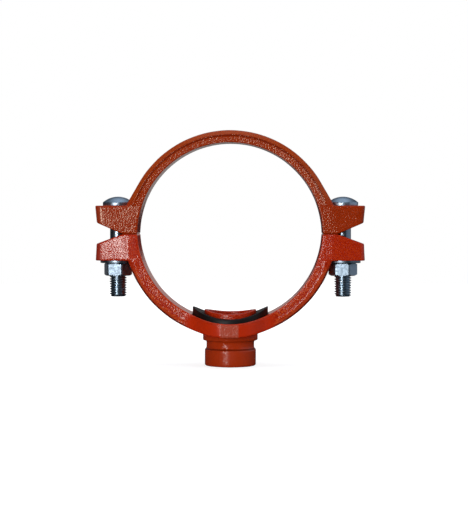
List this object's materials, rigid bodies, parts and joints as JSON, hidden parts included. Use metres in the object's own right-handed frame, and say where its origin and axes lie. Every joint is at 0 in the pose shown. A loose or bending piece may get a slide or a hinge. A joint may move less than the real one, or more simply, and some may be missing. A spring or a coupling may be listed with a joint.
{
  "type": "grooved mechanical tee",
  "caption": "Bolted branch outlet for grooved steel pipe: a ring in two halves that closes round the run pipe, with a rubber gasket round a short grooved outlet.",
  "frame": {"origin": "where the axis of the run pipe crosses the axis of the branch, on the plane where the two halves part", "axes": "+Y along the run pipe, -Z down the branch to its grooved end, +X across towards the right bolt"},
  "size_m": [0.252, 0.0772, 0.2208],
  "materials": {
    "enamel": "gloss",
    "zinc": "satin",
    "rubber": "matte"
  },
  "bodies": {
    "outlet_side": {"outlet_housing": "enamel", "gasket": "rubber", "left_washer": "zinc", "right_washer": "zinc"},
    "strap_side": {"upper_housing": "enamel", "left_bolt": "zinc", "right_bolt": "zinc"},
    "left_nut": {"left_nut": "zinc"},
    "right_nut": {"right_nut": "zinc"}
  },
  "joints": [
    {"name": "strap_lift", "type": "slide", "parent": "outlet_side", "child": "strap_side", "axis": [0, 0, 1], "range_m": [0, 0.0196]},
    {"name": "left_nut_turn", "type": "hinge", "parent": "outlet_side", "child": "left_nut", "pos_m": [-0.1059, 0, -0.0334], "axis": [0, 0, 1], "range_deg": [-3056, 0]},
    {"name": "right_nut_turn", "type": "hinge", "parent": "outlet_side", "child": "right_nut", "pos_m": [0.1059, 0, -0.0334], "axis": [0, 0, 1], "range_deg": [-3056, 0]}
  ],
  "couplings": [
    {"joint": "left_nut_turn", "follows": "strap_lift", "rad_per_m": -2721.2},
    {"joint": "right_nut_turn", "follows": "strap_lift", "rad_per_m": -2721.2}
  ]
}
